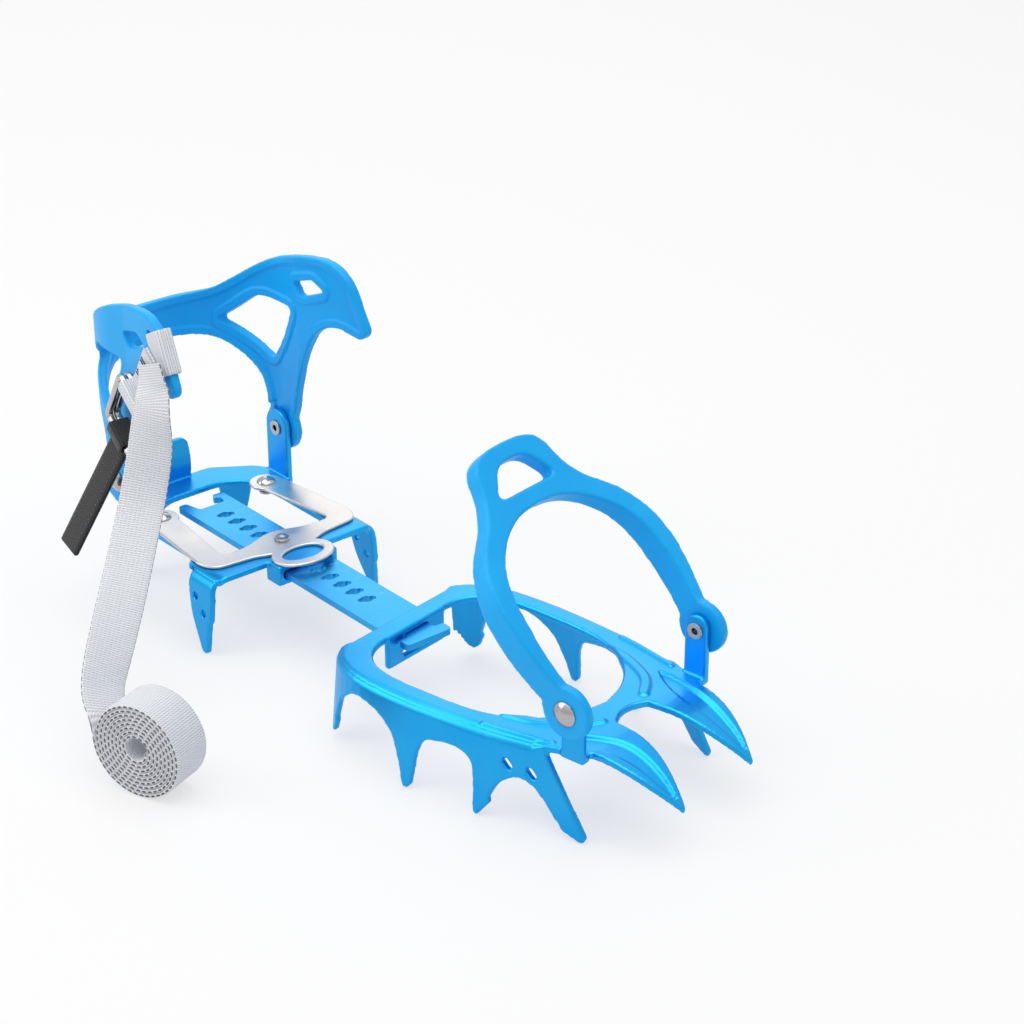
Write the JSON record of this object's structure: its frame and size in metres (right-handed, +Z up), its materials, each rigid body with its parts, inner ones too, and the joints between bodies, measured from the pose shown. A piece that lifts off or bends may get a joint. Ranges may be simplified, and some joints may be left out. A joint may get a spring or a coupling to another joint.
{
  "type": "mountaineering crampon",
  "caption": "Strap-on mountaineering crampon for the right boot: spiked front and heel frames on a holed linking bar, with toe bail, heel cradle, latch and a rolled strap.",
  "frame": {"origin": "on the ground under the middle of the crampon's box, measured without the free strap", "axes": "+X to the toe along the front section, +Y to the wearer's left, +Z up, spike tips on z = 0"},
  "size_m": [0.3563, 0.2136, 0.1553],
  "materials": {
    "anodised_frame": "satin blue anodised",
    "anodised_bar": "satin blue anodised",
    "blue_plastic": "satin moulded",
    "spring_steel": "brushed",
    "rivet_steel": "satin",
    "ring_steel": "polished",
    "webbing": "woven",
    "black_tape": "woven"
  },
  "bodies": {
    "front_section": {"front_frame": "anodised_frame", "toe_rivet_left": "rivet_steel", "toe_rivet_right": "rivet_steel"},
    "toe_bail": {"toe_bail": "blue_plastic"},
    "linking_bar": {"linking_bar": "anodised_bar"},
    "heel_section": {"heel_frame": "anodised_frame", "cradle_rivet_left": "rivet_steel", "cradle_rivet_right": "rivet_steel", "latch_rivet_left": "rivet_steel", "latch_rivet_right": "rivet_steel", "strap_tail": "webbing", "strap_roll": "webbing"},
    "latch": {"latch_spring": "spring_steel", "latch_pin": "rivet_steel"},
    "heel_cradle": {"heel_cradle": "blue_plastic", "strap_loop": "webbing", "ring_keeper": "webbing", "buckle_ring_outer": "ring_steel", "buckle_ring_inner": "ring_steel", "pull_tail": "black_tape"}
  },
  "joints": [
    {"name": "toe_bail_pivot", "type": "hinge", "parent": "front_section", "child": "toe_bail", "pos_m": [0.1362, -0.0098, 0.0588], "axis": [0, 1, 0], "range_deg": [-45, 125]},
    {"name": "bar_swing", "type": "hinge", "parent": "front_section", "child": "linking_bar", "pos_m": [0.0167, -0.0098, 0.0332], "axis": [0, 0, 1], "range_deg": [-3, 23]},
    {"name": "length_adjust", "type": "slide", "parent": "linking_bar", "child": "heel_section", "axis": [0.9848, -0.1736, 0], "range_m": [-0.045, 0.063]},
    {"name": "latch_lift", "type": "hinge", "parent": "heel_section", "child": "latch", "pos_m": [-0.13112, 0.01626, 0.03875], "axis": [-0.1736, -0.9848, 0], "range_deg": [0, 6], "stiffness_Nm_per_rad": 8, "deforming": ["latch_spring"]},
    {"name": "cradle_pivot", "type": "hinge", "parent": "heel_section", "child": "heel_cradle", "pos_m": [-0.13703, 0.01731, 0.062], "axis": [0.1736, 0.9848, 0], "range_deg": [-60, 35], "deforming": ["strap_tail"]}
  ]
}
